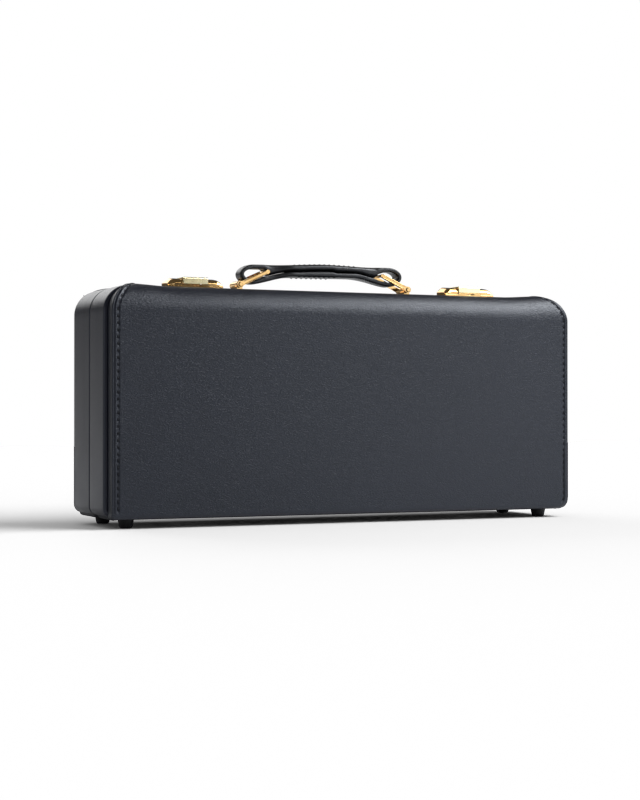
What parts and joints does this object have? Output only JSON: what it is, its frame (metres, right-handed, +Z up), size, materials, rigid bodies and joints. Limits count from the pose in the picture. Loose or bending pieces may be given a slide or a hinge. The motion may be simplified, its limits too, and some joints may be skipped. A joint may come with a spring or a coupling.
{
  "type": "clarinet case",
  "caption": "Hard instrument case with a hinged lid, fitted wells inside, hasp latches and a leather carrying handle on swinging rings.",
  "frame": {"origin": "floor level under the middle of the closed case", "axes": "+X along the case from the left end to the right end seen from the lid, +Y from the lid to the base's back, +Z up to the handle"},
  "size_m": [0.4, 0.1, 0.2072],
  "materials": {
    "grained_leather": "fine pebble grain, satin",
    "smooth_leather": "fine grain over padding, satin",
    "handle_leather": "polished with wear, stitched edges",
    "board": "thin plywood, painted black at the rim",
    "plush": "short dark blue pile",
    "gold": "polished",
    "steel": "nickel plated",
    "rubber": "matte, moulded"
  },
  "bodies": {
    "base": {"base_band_left": "smooth_leather", "base_band_right": "smooth_leather", "base_bottom_panel": "grained_leather", "base_cover": "grained_leather", "base_foot_left": "rubber", "base_foot_right": "rubber", "base_foot_screw_left": "steel", "base_foot_screw_right": "steel", "base_hinge_leaf_left": "steel", "base_hinge_leaf_right": "steel", "base_inner_frame": "plush", "base_shell": "board", "base_tray": "plush", "bracket_rivet_left_1": "gold", "bracket_rivet_left_2": "gold", "bracket_rivet_right_1": "gold", "bracket_rivet_right_2": "gold", "handle_bracket_left": "gold", "handle_bracket_right": "gold", "hinge_pin_left": "steel", "hinge_pin_right": "steel", "latch_base_left": "gold", "latch_base_right": "gold", "latch_pin_left": "gold", "latch_pin_right": "gold", "latch_rivet_left_1": "gold", "latch_rivet_left_2": "gold", "latch_rivet_right_1": "gold", "latch_rivet_right_2": "gold", "latch_spring_left": "steel", "latch_spring_right": "steel", "ring_pin_left": "gold", "ring_pin_right": "gold"},
    "lid": {"lid_band_left": "smooth_leather", "lid_band_right": "smooth_leather", "lid_bottom_panel": "grained_leather", "lid_cover": "grained_leather", "lid_foot_left": "rubber", "lid_foot_right": "rubber", "lid_foot_screw_left": "steel", "lid_foot_screw_right": "steel", "lid_hinge_leaf_left": "steel", "lid_hinge_leaf_right": "steel", "lid_lining": "plush", "lid_shell": "board", "strike_left": "gold", "strike_right": "gold", "strike_rivet_left_1": "gold", "strike_rivet_left_2": "gold", "strike_rivet_right_1": "gold", "strike_rivet_right_2": "gold"},
    "hasp_left": {"latch_hasp_left": "gold"},
    "hasp_right": {"latch_hasp_right": "gold"},
    "grip": {"handle_grip": "handle_leather"},
    "ring_left": {"handle_ring_left": "gold"},
    "ring_right": {"handle_ring_right": "gold"}
  },
  "joints": [
    {"name": "lid_hinge", "type": "hinge", "parent": "base", "child": "lid", "pos_m": [0, -0.002, 0.008], "axis": [1, 0, 0], "range_deg": [0, 100]},
    {"name": "hasp_left_hinge", "type": "hinge", "parent": "base", "child": "hasp_left", "pos_m": [-0.1205, 0.0065, 0.1872], "axis": [-1, 0, 0], "range_deg": [0, 75]},
    {"name": "hasp_right_hinge", "type": "hinge", "parent": "base", "child": "hasp_right", "pos_m": [0.1205, 0.0065, 0.1872], "axis": [-1, 0, 0], "range_deg": [0, 75]},
    {"name": "grip_lift", "type": "slide", "parent": "base", "child": "grip", "axis": [0, 0, 1], "range_m": [0, 0.015]},
    {"name": "ring_left_hinge", "type": "hinge", "parent": "base", "child": "ring_left", "pos_m": [-0.0746, 0.011, 0.1882], "axis": [0, -1, 0], "range_deg": [0, 38.4]},
    {"name": "ring_right_hinge", "type": "hinge", "parent": "base", "child": "ring_right", "pos_m": [0.0746, 0.011, 0.1882], "axis": [0, 1, 0], "range_deg": [0, 38.4]}
  ],
  "couplings": [
    {"joint": "ring_left_hinge", "follows": "grip_lift", "rad_per_m": 44.6},
    {"joint": "ring_right_hinge", "follows": "grip_lift", "rad_per_m": 44.6}
  ]
}
